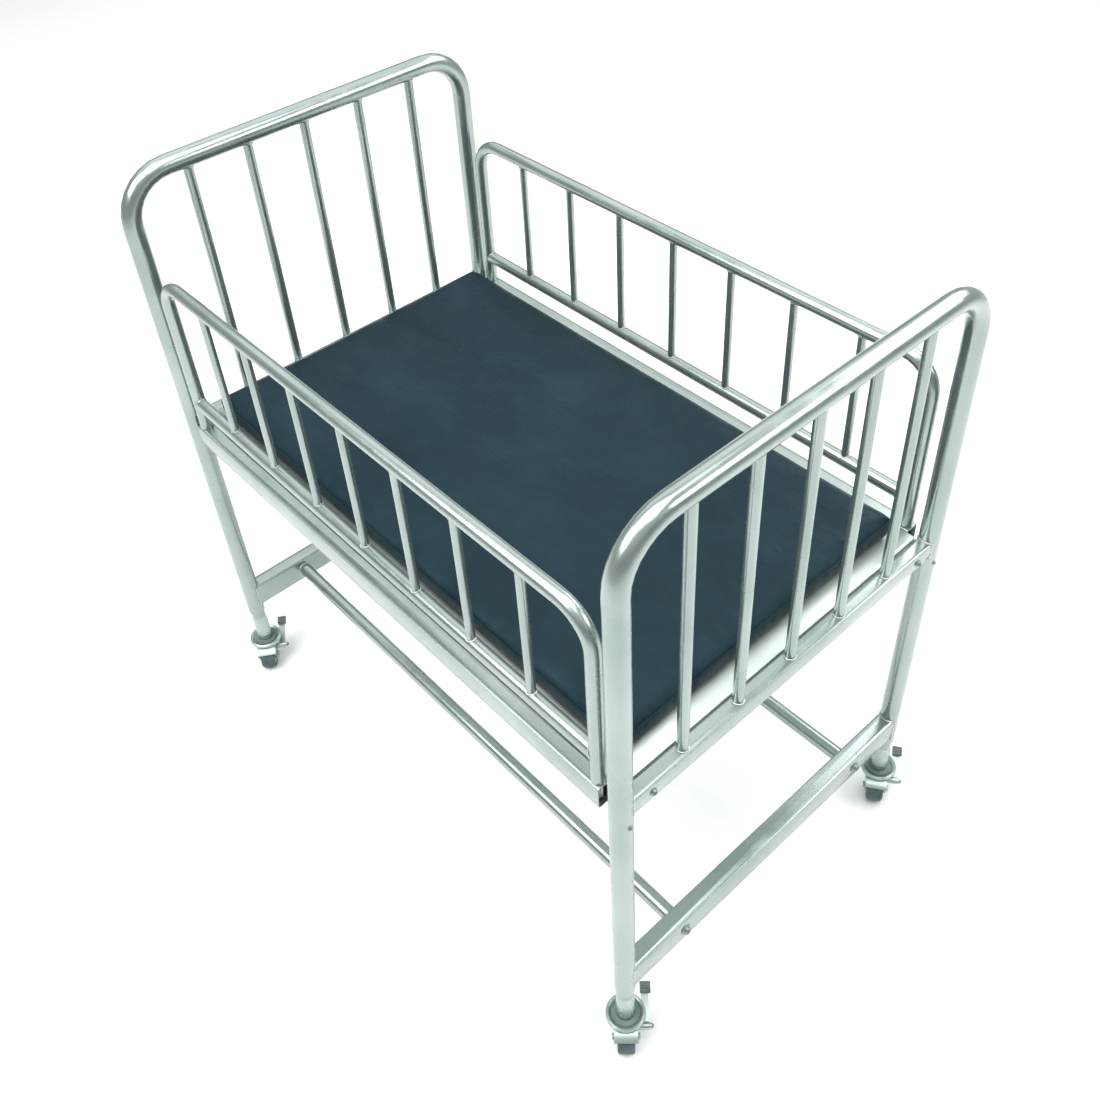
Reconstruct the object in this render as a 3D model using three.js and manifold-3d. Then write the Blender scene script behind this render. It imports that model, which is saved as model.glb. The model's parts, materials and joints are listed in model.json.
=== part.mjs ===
// Pediatric hospital cot: two arched end frames of polished stainless tube, a bed panel between
// two side tubes, two lift-out side rails, a thin mattress and four braked swivel casters.
// Millimetres, +Z up, +X toward the foot end, -Y is the cot's left side.
// The origin is on the floor, under the middle of the cot's overall box.
import * as THREE from 'three';
import { mergeVertices } from 'three/addons/utils/BufferGeometryUtils.js';
import Module from 'manifold-3d';

const wasm = await Module();
wasm.setup();

// Clearance between pieces that meet, and the tolerance that joins a solid's shared corners
const GAP = 0.3;
const MERGE_TOLERANCE = 1e-3;

// Facets: sides of the round tubes, steps along a bend, steps round a tube's square corner and
// steps along the arcs of the caster plates
const LEG_SIDES = 16;
const RAIL_SIDES = 12;
const BAR_SIDES = 12;
const BEND_STEPS = 7;
const CORNER_STEPS = 1;
const ARC_STEPS = 6;

// End frames, heights measured from the floor
const LEG_SPACING_X = 1048;
const LEG_SPACING_Y = 638;
const LEG_RADIUS = 16;
const LEG_WALL = 1.5;
const LEG_FOOT = 142;
const ARCH_AXIS = 1087;
const ARCH_BEND = 75;
const END_BAR_RADIUS = 8;
const END_BAR_WALL = 1.2;
const END_BAR_PITCH = 105;
const END_BAR_COUNT = 5;

// Bed level and the rectangular tubes: width across, height, corner radius, wall
const BED_TOP = 641;
const MID_RAIL = { width: 25, height: 30, corner: 3, wall: 1.5 };
const CROSS_BAR = { width: 30, height: 50, corner: 4, wall: 1.5 };
const CROSS_BAR_TOP = 210;
const SIDE_TUBE = { width: 25, height: 40, corner: 3, wall: 1.5 };
const SIDE_TUBE_LENGTH = 990;
const STRETCHER_RADIUS = 12.5;
const STRETCHER_WALL = 1.2;
const STRETCHER_AXIS = 186;
const STRETCHER_SPACING = 410;

// Bed panel: one folded sheet with a down-turned flange all round
const PANEL_SHEET = 1.5;
const PANEL_FLANGE = 24;
const PANEL_FOLD = 3;

// Side rails, each standing on a side tube with two locating pins
const RAIL_PLANE = 317;
const RAIL_RADIUS = 11;
const RAIL_WALL = 1.2;
const RAIL_POST_SPACING = 967;
const RAIL_TOP_AXIS = 935;
const RAIL_BOTTOM_AXIS = 693;
const RAIL_BEND = 52;
const RAIL_BAR_RADIUS = 6.5;
const RAIL_BAR_WALL = 1;
const RAIL_BAR_PITCH = 121;
const RAIL_BAR_COUNT = 7;
const PIN_RADIUS = 5.5;
const PIN_BORE = 3.5;
const PIN_DEPTH = 34;
const PIN_SEAT = 9;
const PIN_CLEARANCE = 0.4;

// Mattress
const MATTRESS_LENGTH = 988;
const MATTRESS_WIDTH = 576;
const MATTRESS_OFFSET = -5;
const MATTRESS_CORNER = 14;
const MATTRESS_EDGE_HEIGHT = 38;
const MATTRESS_EDGE_RADIUS = 11;
const MATTRESS_CROWN = 6;
const MATTRESS_DRAW_IN = 4;
const MATTRESS_STEPS = { length: 18, width: 12, height: 4 };

// Casters: the wheel trails behind the swivel axis, and the lever turns on a pin in the fork
const WHEEL_RADIUS = 25;
const WHEEL_HALF_TREAD = 13.5;
const WHEEL_HALF_HUB = 15.5;
const WHEEL_HUB_RADIUS = 7;
const WHEEL_DISH = { depth: 4, radius: 19, slope: 1.5 };
const TYRE_SHOULDER = { across: 3, down: 2.5 };
const WHEEL_SIDES = 18;
const TRAIL = 22;
const AXLE_RADIUS = 3;
const AXLE_HEAD = { radius: 5.3, height: 3.2 };
const FORK_INNER = 16;
const FORK_SHEET = 2.5;
const FORK_BACK = -22;
const FORK_EYE = { radius: 9, from: 234, to: 369 };
const HOOD = { inner: 26.8, outer: 28.6, front: 46, back: 100 };
const CROWN_RADIUS = 31.5;
const CROWN_BOTTOM = 53;
const CROWN_TOP = 69.7;
const CROWN_NECK = 13.8;
// The crown's rolled rim, as steps in from its outside and up from its bottom
const CROWN_RIM = [[3.2, 0], [0.5, 1.5], [0, 4], [0.9, 7.5], [3.4, 9.2], [6, 8.2], [8.5, 5.5]];
const CROWN_FLOOR = 4.5;
const KINGPIN_RADIUS = 5;
const RIVET = { radius: 8, height: 4.7 };
const RUNNING_CLEARANCE = 0.6;
const BOSS_RADIUS = 14.3;
const BOSS_BOTTOM = 70;
const BOSS_TOP = 122;
const BOSS_EDGE = 2;
const BOSS_SHOULDER = 8;
const STEM_RADIUS = 12.9;
const STEM_TOP = 190;
const TURNED_SIDES = 14;
const LEVER_PIVOT = { x: 12, z: 38 };
const LEVER_PIN_RADIUS = 3;
const LEVER_HUB_RADIUS = 6;
const LEVER_ARM = { width: 12, height: 4, corner: 1.5, y: 30.5 };
const LEVER_HEAD = { radius: 4.5, height: 3.5 };
const PEDAL = { length: 16, width: 15, height: 6, corner: 2.5, x: -40, y: 31.5, z: 51 };
const CASTERS = [
  { name: 'foot_left', end: 1, side: -1, yaw: -43 },
  { name: 'foot_right', end: 1, side: 1, yaw: -57 },
  { name: 'head_left', end: -1, side: -1, yaw: -33 },
  { name: 'head_right', end: -1, side: 1, yaw: -50 },
];

// Materials, a new one for each piece
const finish = (color, roughness, metalness) => (
  new THREE.MeshStandardMaterial({ color, roughness, metalness })
);
const polishedSteel = () => finish(0xc9d2cb, 0.18, 1);
const platedSteel = () => finish(0xd0d6d2, 0.25, 1);
const vinyl = () => finish(0x2b3a42, 0.5, 0);
const whiteCollar = () => finish(0xd9ddd6, 0.4, 0);
const wheelRubber = () => finish(0x3a4448, 0.6, 0);

// A tube's centre line, given as stations that each hold a point and a direction
class Route extends THREE.Curve {
  constructor(stations) {
    super();
    this.stations = stations;
  }

  stationAt(u) {
    return this.stations[Math.round(u * (this.stations.length - 1))];
  }

  getPointAt(u, target = new THREE.Vector3()) {
    return target.copy(this.stationAt(u).point);
  }

  getTangentAt(u, target = new THREE.Vector3()) {
    return target.copy(this.stationAt(u).direction);
  }
}

// An upside-down U in the XZ plane: up one post, round two bends and down the other post
function archRoute(halfSpan, bottom, top, bend) {
  const stations = [];
  const add = (x, z, angle) => stations.push({
    point: new THREE.Vector3(x, 0, z),
    direction: new THREE.Vector3(Math.cos(angle), 0, Math.sin(angle)),
  });
  add(-halfSpan, bottom, Math.PI / 2);
  for (const side of [-1, 1]) {
    for (let i = 0; i <= BEND_STEPS; i += 1) {
      const angle = (Math.PI / 4) * (1 - side) - (Math.PI / 2) * (i / BEND_STEPS);
      const x = side * (halfSpan - bend) - bend * Math.sin(angle);
      const z = top - bend + bend * Math.cos(angle);
      add(x, z, angle);
    }
  }
  add(halfSpan, bottom, -Math.PI / 2);
  return new Route(stations);
}

function circlePoints(radius, sides) {
  return Array.from({ length: sides }, (_, i) => {
    const angle = (2 * Math.PI * (i + 0.5)) / sides;
    return new THREE.Vector2(radius * Math.cos(angle), radius * Math.sin(angle));
  });
}

// The bore is drawn with half as many sides as the outside
function roundTube(radius, wall, sides) {
  const section = new THREE.Shape(circlePoints(radius, sides));
  section.holes.push(new THREE.Path(circlePoints(radius - wall, sides / 2)));
  return section;
}

function roundedRectangle(width, height, corner) {
  const outline = new THREE.Shape();
  const x = width / 2 - corner;
  const y = height / 2 - corner;
  outline.absarc(x, y, corner, 0, Math.PI / 2);
  outline.absarc(-x, y, corner, Math.PI / 2, Math.PI);
  outline.absarc(-x, -y, corner, Math.PI, 1.5 * Math.PI);
  outline.absarc(x, -y, corner, 1.5 * Math.PI, 2 * Math.PI);
  return outline;
}

function rectangularTube({ width, height, corner, wall }) {
  const section = roundedRectangle(width, height, corner);
  section.holes.push(roundedRectangle(width - 2 * wall, height - 2 * wall, corner - wall));
  return section;
}

// A section pushed along Z, centred on the origin
function straight(section, length, curveSegments = CORNER_STEPS) {
  const options = { depth: length, bevelEnabled: false, curveSegments };
  return new THREE.ExtrudeGeometry(section, options).translate(0, 0, -length / 2);
}

function bent(section, route) {
  const options = { steps: route.stations.length - 1, extrudePath: route, bevelEnabled: false };
  return new THREE.ExtrudeGeometry(section, options);
}

// Turned pieces: a profile of radius and height pairs, revolved about Z
function turned(profile, sides = TURNED_SIDES) {
  const points = profile.map(([radius, height]) => new THREE.Vector2(radius, height));
  return new THREE.LatheGeometry(points, sides, Math.PI / sides).rotateX(Math.PI / 2);
}

// A round cutter along Z whose flats all lie outside the given radius
function cutter(radius, length, sides = LEG_SIDES) {
  const corner = radius / Math.cos(Math.PI / sides);
  return new THREE.CylinderGeometry(corner, corner, length, sides).rotateX(Math.PI / 2);
}

function solid(geometry) {
  const bare = geometry.clone();
  bare.deleteAttribute('normal');
  bare.deleteAttribute('uv');
  const merged = mergeVertices(bare, MERGE_TOLERANCE);
  return new wasm.Manifold(new wasm.Mesh({
    numProp: 3,
    vertProperties: new Float32Array(merged.attributes.position.array),
    triVerts: new Uint32Array(merged.index.array),
  }));
}

function geometryOf(body) {
  const mesh = body.getMesh();
  const geometry = new THREE.BufferGeometry();
  geometry.setAttribute('position', new THREE.BufferAttribute(mesh.vertProperties, 3));
  geometry.setIndex(new THREE.BufferAttribute(mesh.triVerts, 1));
  geometry.computeVertexNormals();
  return geometry;
}

function cut(geometry, cutters) {
  const body = cutters.reduce((rest, tool) => rest.subtract(solid(tool)), solid(geometry));
  return geometryOf(body);
}

function join(geometries) {
  return geometries.map(solid).reduce((whole, next) => whole.add(next));
}

function piece(name, geometry, material) {
  const mesh = new THREE.Mesh(geometry, material);
  mesh.name = name;
  return mesh;
}

// Even stations about the middle, such as a row of bars
function row(count, pitch) {
  return Array.from({ length: count }, (_, i) => (i - (count - 1) / 2) * pitch);
}

// One end frame in the plane X = 0
function endArch() {
  const route = archRoute(LEG_SPACING_Y / 2, LEG_FOOT, ARCH_AXIS, ARCH_BEND);
  return bent(roundTube(LEG_RADIUS, LEG_WALL, LEG_SIDES), route).rotateZ(Math.PI / 2);
}

// A rectangular tube between the legs, its ends hollowed to fit round them
function legToLegTube(tube, top) {
  const legs = [-1, 1].map((side) => cutter(LEG_RADIUS + GAP, 2 * tube.height)
    .translate(0, (side * LEG_SPACING_Y) / 2, 0));
  const length = LEG_SPACING_Y - LEG_RADIUS / 2;
  const blank = straight(rectangularTube(tube), length).rotateX(Math.PI / 2);
  return cut(blank, legs).translate(0, 0, top - tube.height / 2);
}

// An upright bar from the mid rail to the underside of the arch's top run
function endBar() {
  const bottom = BED_TOP + GAP;
  const top = ARCH_AXIS - LEG_RADIUS / 2;
  const blank = straight(roundTube(END_BAR_RADIUS, END_BAR_WALL, BAR_SIDES), top - bottom)
    .translate(0, 0, (top + bottom) / 2);
  const topRun = cutter(LEG_RADIUS + GAP, 4 * END_BAR_RADIUS)
    .rotateX(Math.PI / 2)
    .translate(0, 0, ARCH_AXIS);
  return cut(blank, [topRun]);
}

function endFrame(name) {
  const frame = new THREE.Group();
  frame.add(piece(`${name}_arch`, endArch(), polishedSteel()));
  frame.add(piece(`${name}_mid_rail`, legToLegTube(MID_RAIL, BED_TOP), polishedSteel()));
  frame.add(piece(`${name}_cross_bar`, legToLegTube(CROSS_BAR, CROSS_BAR_TOP), polishedSteel()));
  row(END_BAR_COUNT, END_BAR_PITCH).forEach((y, i) => {
    const bar = piece(`${name}_bar_${i + 1}`, endBar(), polishedSteel());
    bar.position.y = y;
    frame.add(bar);
  });
  return frame;
}

// One side rail in the plane Y = 0
function locatingPin() {
  const seat = BED_TOP + GAP;
  const wallOverlap = RAIL_RADIUS - RAIL_WALL / 2;
  return turned([
    [PIN_BORE, seat - PIN_DEPTH],
    [PIN_RADIUS, seat - PIN_DEPTH],
    [PIN_RADIUS, seat],
    [wallOverlap, seat],
    [wallOverlap, seat + PIN_SEAT],
    [PIN_BORE, seat + PIN_SEAT],
    [PIN_BORE, seat - PIN_DEPTH],
  ], RAIL_SIDES);
}

function railHoop() {
  const route = archRoute(RAIL_POST_SPACING / 2, BED_TOP + GAP, RAIL_TOP_AXIS, RAIL_BEND);
  const hoop = bent(roundTube(RAIL_RADIUS, RAIL_WALL, RAIL_SIDES), route);
  const pins = [-1, 1].map((end) => locatingPin().translate((end * RAIL_POST_SPACING) / 2, 0, 0));
  return geometryOf(join([hoop, ...pins]));
}

function railBottomTube() {
  const posts = [-1, 1].map((end) => cutter(RAIL_RADIUS + GAP, 4 * RAIL_RADIUS)
    .translate((end * RAIL_POST_SPACING) / 2, 0, 0));
  const blank = straight(roundTube(RAIL_RADIUS, RAIL_WALL, RAIL_SIDES), RAIL_POST_SPACING);
  return cut(blank.rotateY(Math.PI / 2), posts).translate(0, 0, RAIL_BOTTOM_AXIS);
}

function railBar() {
  const length = RAIL_TOP_AXIS - RAIL_BOTTOM_AXIS;
  const blank = straight(roundTube(RAIL_BAR_RADIUS, RAIL_BAR_WALL, BAR_SIDES), length);
  const runs = [-1, 1].map((end) => cutter(RAIL_RADIUS + GAP, 4 * RAIL_BAR_RADIUS)
    .rotateY(Math.PI / 2)
    .translate(0, 0, (end * length) / 2));
  return cut(blank, runs).translate(0, 0, (RAIL_TOP_AXIS + RAIL_BOTTOM_AXIS) / 2);
}

function sideRail(name) {
  const rail = new THREE.Group();
  rail.add(piece(`${name}_rail_hoop`, railHoop(), polishedSteel()));
  rail.add(piece(`${name}_rail_bottom_tube`, railBottomTube(), polishedSteel()));
  row(RAIL_BAR_COUNT, RAIL_BAR_PITCH).forEach((x, i) => {
    const bar = piece(`${name}_rail_bar_${i + 1}`, railBar(), polishedSteel());
    bar.position.x = x;
    rail.add(bar);
  });
  return rail;
}

// Bed: a side tube with a hole in its top wall for each pin
function sideTube() {
  const { width, height, corner, wall } = SIDE_TUBE;
  const section = rectangularTube({ width: height, height: width, corner, wall });
  const holes = [-1, 1].map((end) => cutter(PIN_RADIUS + PIN_CLEARANCE, height / 2, RAIL_SIDES)
    .translate((end * RAIL_POST_SPACING) / 2, 0, height / 2));
  const blank = straight(section, SIDE_TUBE_LENGTH).rotateY(Math.PI / 2);
  return cut(blank, holes).translate(0, 0, BED_TOP - height / 2);
}

// A slab with a folded top edge, its top face at Z = 0
function foldedSlab(length, width, depth, fold) {
  const outline = roundedRectangle(length - 2 * fold, width - 2 * fold, fold);
  const options = {
    depth: depth - 2 * fold,
    bevelThickness: fold,
    bevelSize: fold,
    bevelSegments: 2,
    curveSegments: CORNER_STEPS,
  };
  return new THREE.ExtrudeGeometry(outline, options).translate(0, 0, fold - depth);
}

function bedPanel() {
  const length = LEG_SPACING_X - MID_RAIL.width - 2 * GAP;
  const width = 2 * RAIL_PLANE - SIDE_TUBE.width - 2 * GAP;
  const outside = foldedSlab(length, width, 2 * PANEL_FLANGE, PANEL_FOLD);
  const inside = foldedSlab(
    length - 2 * PANEL_SHEET,
    width - 2 * PANEL_SHEET,
    2 * PANEL_FLANGE,
    PANEL_FOLD - PANEL_SHEET,
  ).translate(0, 0, -PANEL_SHEET);
  const below = new THREE.BoxGeometry(2 * length, 2 * width, 2 * PANEL_FLANGE)
    .translate(0, 0, -2 * PANEL_FLANGE);
  return cut(outside, [inside, below]).translate(0, 0, BED_TOP);
}

// Draws the square corners of a plan in to a round corner
function roundPlanCorner(point, half) {
  const x = Math.max(Math.abs(point.x) - half.x + MATTRESS_CORNER, 0);
  const y = Math.max(Math.abs(point.y) - half.y + MATTRESS_CORNER, 0);
  if (x === 0 || y === 0) return;
  const shrink = 1 - Math.max(x, y) / Math.hypot(x, y);
  point.x -= Math.sign(point.x) * x * shrink;
  point.y -= Math.sign(point.y) * y * shrink;
}

// A rounded pad with a crowned top and sides that draw in between the corners
function mattress() {
  const half = new THREE.Vector3(MATTRESS_LENGTH, MATTRESS_WIDTH, MATTRESS_EDGE_HEIGHT).divideScalar(2);
  const core = half.clone().subScalar(MATTRESS_EDGE_RADIUS);
  const { length, width, height } = MATTRESS_STEPS;
  const pad = new THREE.BoxGeometry(2, 2, 2, length, width, height);
  const corners = pad.attributes.position;
  const spread = (t) => Math.sin((Math.PI / 2) * t);
  for (let i = 0; i < corners.count; i += 1) {
    const t = new THREE.Vector3().fromBufferAttribute(corners, i);
    const point = new THREE.Vector3(spread(t.x), spread(t.y), spread(t.z)).multiply(half);
    const inner = point.clone().clamp(core.clone().negate(), core);
    point.sub(inner).setLength(MATTRESS_EDGE_RADIUS).add(inner);
    roundPlanCorner(point, half);
    const alongLength = 1 - (point.x / half.x) ** 2;
    const alongWidth = 1 - (point.y / half.y) ** 2;
    const lift = point.z > 0 ? point.z / half.z : 0;
    corners.setXYZ(
      i,
      point.x * (1 - (MATTRESS_DRAW_IN / half.x) * alongWidth),
      point.y * (1 - (MATTRESS_DRAW_IN / half.y) * alongLength),
      point.z + half.z + lift * MATTRESS_CROWN * Math.sqrt(alongLength * alongWidth),
    );
  }
  return pad.translate(MATTRESS_OFFSET, 0, BED_TOP + GAP);
}

function stretcher() {
  const length = LEG_SPACING_X - CROSS_BAR.width - 2 * GAP;
  const tube = straight(roundTube(STRETCHER_RADIUS, STRETCHER_WALL, LEG_SIDES), length);
  return tube.rotateY(Math.PI / 2).translate(0, 0, STRETCHER_AXIS);
}

// Caster pieces, with the swivel axis on Z and the wheel trailing toward +X
function casterStem() {
  const crownUnderside = CROWN_BOTTOM - GAP;
  return turned([
    [0, crownUnderside - RIVET.height],
    [RIVET.radius, crownUnderside - RIVET.height],
    [RIVET.radius, crownUnderside],
    [KINGPIN_RADIUS, crownUnderside],
    [KINGPIN_RADIUS, BOSS_BOTTOM],
    [BOSS_RADIUS - BOSS_EDGE, BOSS_BOTTOM],
    [BOSS_RADIUS, BOSS_BOTTOM + BOSS_EDGE],
    [BOSS_RADIUS, BOSS_TOP - BOSS_SHOULDER],
    [STEM_RADIUS, BOSS_TOP],
    [STEM_RADIUS, STEM_TOP - BOSS_EDGE],
    [STEM_RADIUS - BOSS_EDGE, STEM_TOP],
    [0, STEM_TOP],
  ]);
}

// A flat plate drawn in the XZ plane, between two values of Y
function sidePlate(outline, from, to) {
  return straight(outline, to - from, ARC_STEPS).rotateX(Math.PI / 2).translate(0, (from + to) / 2, 0);
}

// A round cutter along Y, through the given point of the XZ plane
function crossHole(radius, length, x, z, middle = 0) {
  return cutter(radius, length, RAIL_SIDES).rotateX(Math.PI / 2).translate(x, middle, z);
}

// The crown is a round dish with a rolled rim and a groove about its neck
function forkCrown() {
  const bore = KINGPIN_RADIUS + RUNNING_CLEARANCE;
  return turned([
    [bore, CROWN_BOTTOM],
    ...CROWN_RIM.map(([inset, rise]) => [CROWN_RADIUS - inset, CROWN_BOTTOM + rise]),
    [CROWN_NECK, CROWN_BOTTOM + CROWN_FLOOR],
    [CROWN_NECK, CROWN_TOP],
    [bore, CROWN_TOP],
    [bore, CROWN_BOTTOM],
  ], WHEEL_SIDES);
}

// A curved lip over the top and front of the wheel, which joins the two plates
function forkHood() {
  const front = THREE.MathUtils.degToRad(HOOD.front);
  const back = THREE.MathUtils.degToRad(HOOD.back);
  const lip = new THREE.Shape();
  lip.absarc(TRAIL, WHEEL_RADIUS, HOOD.outer, front, back);
  lip.absarc(TRAIL, WHEEL_RADIUS, HOOD.inner, back, front, true);
  const reach = FORK_INNER + FORK_SHEET / 2;
  return sidePlate(lip, -reach, reach);
}

function forkPlate(side) {
  const plateTop = CROWN_BOTTOM + FORK_SHEET;
  const eyeStart = THREE.MathUtils.degToRad(FORK_EYE.from);
  const eyeEnd = THREE.MathUtils.degToRad(FORK_EYE.to);
  const lip = THREE.MathUtils.degToRad(HOOD.front);
  const lipRadius = (HOOD.inner + HOOD.outer) / 2;
  const outline = new THREE.Shape();
  outline.moveTo(FORK_BACK, plateTop);
  outline.lineTo(FORK_BACK, CROWN_BOTTOM - FORK_SHEET);
  outline.absarc(TRAIL, WHEEL_RADIUS, FORK_EYE.radius, eyeStart, eyeEnd);
  outline.absarc(TRAIL, WHEEL_RADIUS, lipRadius, lip, Math.PI / 2);
  outline.lineTo(TRAIL, plateTop);
  const near = side * FORK_INNER;
  const far = side * (FORK_INNER + FORK_SHEET);
  return sidePlate(outline, Math.min(near, far), Math.max(near, far));
}

function casterFork() {
  const axleHole = crossHole(AXLE_RADIUS + GAP, 4 * FORK_INNER, TRAIL, WHEEL_RADIUS);
  const { x, z } = LEVER_PIVOT;
  const pinHole = crossHole(LEVER_PIN_RADIUS + GAP, FORK_INNER, x, z, FORK_INNER);
  const sheet = join([forkCrown(), forkHood(), forkPlate(-1), forkPlate(1)]);
  return geometryOf(sheet.subtract(solid(axleHole)).subtract(solid(pinHole)));
}

// Revolved about the axle: a tyre with round shoulders on a dished core
function casterWheel() {
  const bore = AXLE_RADIUS + RUNNING_CLEARANCE;
  const tread = WHEEL_RADIUS / Math.cos(Math.PI / WHEEL_SIDES);
  const dishFace = WHEEL_HALF_TREAD - WHEEL_DISH.depth;
  const half = [
    [bore, WHEEL_HALF_HUB],
    [WHEEL_HUB_RADIUS, WHEEL_HALF_HUB],
    [WHEEL_HUB_RADIUS + WHEEL_DISH.slope, dishFace],
    [WHEEL_DISH.radius, dishFace],
    [WHEEL_DISH.radius + WHEEL_DISH.slope, WHEEL_HALF_TREAD],
    [tread - TYRE_SHOULDER.down, WHEEL_HALF_TREAD],
    [tread, WHEEL_HALF_TREAD - TYRE_SHOULDER.across],
  ];
  const lower = half.map(([radius, y]) => [radius, -y]);
  const profile = [...lower, ...half.reverse(), lower[0]];
  return turned(profile, WHEEL_SIDES).rotateX(-Math.PI / 2);
}

// A bolt with a low head on one fork plate and a nut on the other
function casterAxle() {
  const headFace = FORK_INNER + FORK_SHEET + GAP;
  const headEnd = headFace + AXLE_HEAD.height;
  return turned([
    [0, -headEnd],
    [AXLE_HEAD.radius, -headEnd],
    [AXLE_HEAD.radius, -headFace],
    [AXLE_RADIUS, -headFace],
    [AXLE_RADIUS, headFace],
    [AXLE_HEAD.radius, headFace],
    [AXLE_HEAD.radius, headEnd],
    [0, headEnd],
  ], RAIL_SIDES).rotateX(-Math.PI / 2);
}

// A pressed arm on a pivot pin, with a foot pedal on the far side of the swivel axis
function brakeLever() {
  const span = new THREE.Vector2(PEDAL.x - LEVER_PIVOT.x, PEDAL.z - LEVER_PIVOT.z);
  const armLength = span.length() + LEVER_HUB_RADIUS;
  const arm = straight(roundedRectangle(armLength, LEVER_ARM.height, LEVER_ARM.corner), LEVER_ARM.width)
    .rotateX(Math.PI / 2)
    .rotateY(-span.angle())
    .translate((PEDAL.x + LEVER_PIVOT.x) / 2, LEVER_ARM.y, (PEDAL.z + LEVER_PIVOT.z) / 2);
  const hubStart = FORK_INNER + FORK_SHEET + GAP;
  const hubEnd = LEVER_ARM.y + LEVER_ARM.width / 2;
  const headEnd = hubEnd + LEVER_HEAD.height;
  const pivot = turned([
    [0, FORK_INNER + GAP],
    [LEVER_PIN_RADIUS, FORK_INNER + GAP],
    [LEVER_PIN_RADIUS, hubStart],
    [LEVER_HUB_RADIUS, hubStart],
    [LEVER_HUB_RADIUS, hubEnd],
    [LEVER_HEAD.radius, hubEnd],
    [LEVER_HEAD.radius, headEnd],
    [0, headEnd],
  ], RAIL_SIDES).rotateX(-Math.PI / 2).translate(LEVER_PIVOT.x, 0, LEVER_PIVOT.z);
  const pad = straight(roundedRectangle(PEDAL.length, PEDAL.height, PEDAL.corner), PEDAL.width)
    .rotateX(Math.PI / 2)
    .translate(PEDAL.x, PEDAL.y, PEDAL.z);
  return geometryOf(join([arm, pivot, pad]));
}

function caster(name, yaw) {
  const whole = new THREE.Group();
  const swivel = new THREE.Group();
  swivel.rotation.z = THREE.MathUtils.degToRad(yaw);
  whole.add(piece(`${name}_caster_stem`, casterStem(), whiteCollar()));
  swivel.add(piece(`${name}_caster_fork`, casterFork(), platedSteel()));
  const wheel = piece(`${name}_caster_wheel`, casterWheel(), wheelRubber());
  const axle = piece(`${name}_caster_axle`, casterAxle(), platedSteel());
  for (const turning of [wheel, axle]) {
    turning.position.set(TRAIL, 0, WHEEL_RADIUS);
  }
  swivel.add(wheel);
  swivel.add(axle);
  swivel.add(piece(`${name}_caster_brake_lever`, brakeLever(), platedSteel()));
  whole.add(swivel);
  return whole;
}

// The whole cot
const cot = new THREE.Group();
for (const [name, end] of [['head', -1], ['foot', 1]]) {
  const frame = endFrame(name);
  frame.position.x = (end * LEG_SPACING_X) / 2;
  cot.add(frame);
}
for (const [name, side] of [['left', -1], ['right', 1]]) {
  const rail = sideRail(name);
  rail.position.y = side * RAIL_PLANE;
  cot.add(rail);
  const tube = piece(`${name}_side_tube`, sideTube(), polishedSteel());
  tube.position.y = side * RAIL_PLANE;
  cot.add(tube);
  const tie = piece(`${name}_stretcher`, stretcher(), polishedSteel());
  tie.position.y = (side * STRETCHER_SPACING) / 2;
  cot.add(tie);
}
cot.add(piece('bed_panel', bedPanel(), polishedSteel()));
cot.add(piece('mattress', mattress(), vinyl()));
for (const { name, end, side, yaw } of CASTERS) {
  const wheels = caster(name, yaw);
  wheels.position.set((end * LEG_SPACING_X) / 2, (side * LEG_SPACING_Y) / 2, 0);
  cot.add(wheels);
}

// The casters reach out unevenly, so the cot is shifted until its box is centred on the origin
const middle = new THREE.Box3().setFromObject(cot, true).getCenter(new THREE.Vector3());
cot.position.set(-middle.x, -middle.y, 0);

export default cot;
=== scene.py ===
# Looks of a pediatric hospital cot: polished stainless tube, a vinyl mattress and braked casters.
# Metres, +Z up, +X toward the foot end, -Y is the cot's left side.
import json
import math
import bmesh
import bpy
from mathutils import Matrix, Vector, noise
from mathutils.bvhtree import BVHTree


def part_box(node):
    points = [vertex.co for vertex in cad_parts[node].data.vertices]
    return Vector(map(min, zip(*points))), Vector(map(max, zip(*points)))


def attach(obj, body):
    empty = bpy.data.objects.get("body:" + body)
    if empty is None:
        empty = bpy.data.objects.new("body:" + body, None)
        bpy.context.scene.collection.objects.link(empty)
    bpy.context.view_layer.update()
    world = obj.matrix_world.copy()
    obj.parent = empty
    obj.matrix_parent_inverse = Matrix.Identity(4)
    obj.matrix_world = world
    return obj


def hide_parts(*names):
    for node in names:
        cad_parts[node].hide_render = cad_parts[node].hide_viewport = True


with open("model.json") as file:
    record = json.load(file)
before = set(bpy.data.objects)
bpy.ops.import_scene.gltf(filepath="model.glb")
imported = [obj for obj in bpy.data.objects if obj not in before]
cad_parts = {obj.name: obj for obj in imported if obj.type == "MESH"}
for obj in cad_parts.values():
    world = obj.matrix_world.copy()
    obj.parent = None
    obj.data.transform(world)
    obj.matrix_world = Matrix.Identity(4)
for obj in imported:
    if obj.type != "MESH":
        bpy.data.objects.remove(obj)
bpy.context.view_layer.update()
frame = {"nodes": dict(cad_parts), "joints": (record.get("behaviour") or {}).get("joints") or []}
nodes = frame["nodes"]
joints = {joint["name"]: joint for joint in frame["joints"]}

ENDS = ("head", "foot")
SIDES = ("left", "right")
CASTERS = ("foot_left", "foot_right", "head_left", "head_right")
X_AXIS = Vector((1, 0, 0))
Y_AXIS = Vector((0, 1, 0))
Z_AXIS = Vector((0, 0, 1))

# Tube radii
LEG_RADIUS = 0.016
END_BAR_RADIUS = 0.008
RAIL_RADIUS = 0.011
RAIL_BAR_RADIUS = 0.0065
STRETCHER_RADIUS = 0.0125

# Upright bars in each end and in each side rail
END_BARS = 5
RAIL_BARS = 7

# Height of the shoulder on a caster's stem
BOSS_TOP = 0.122


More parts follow.
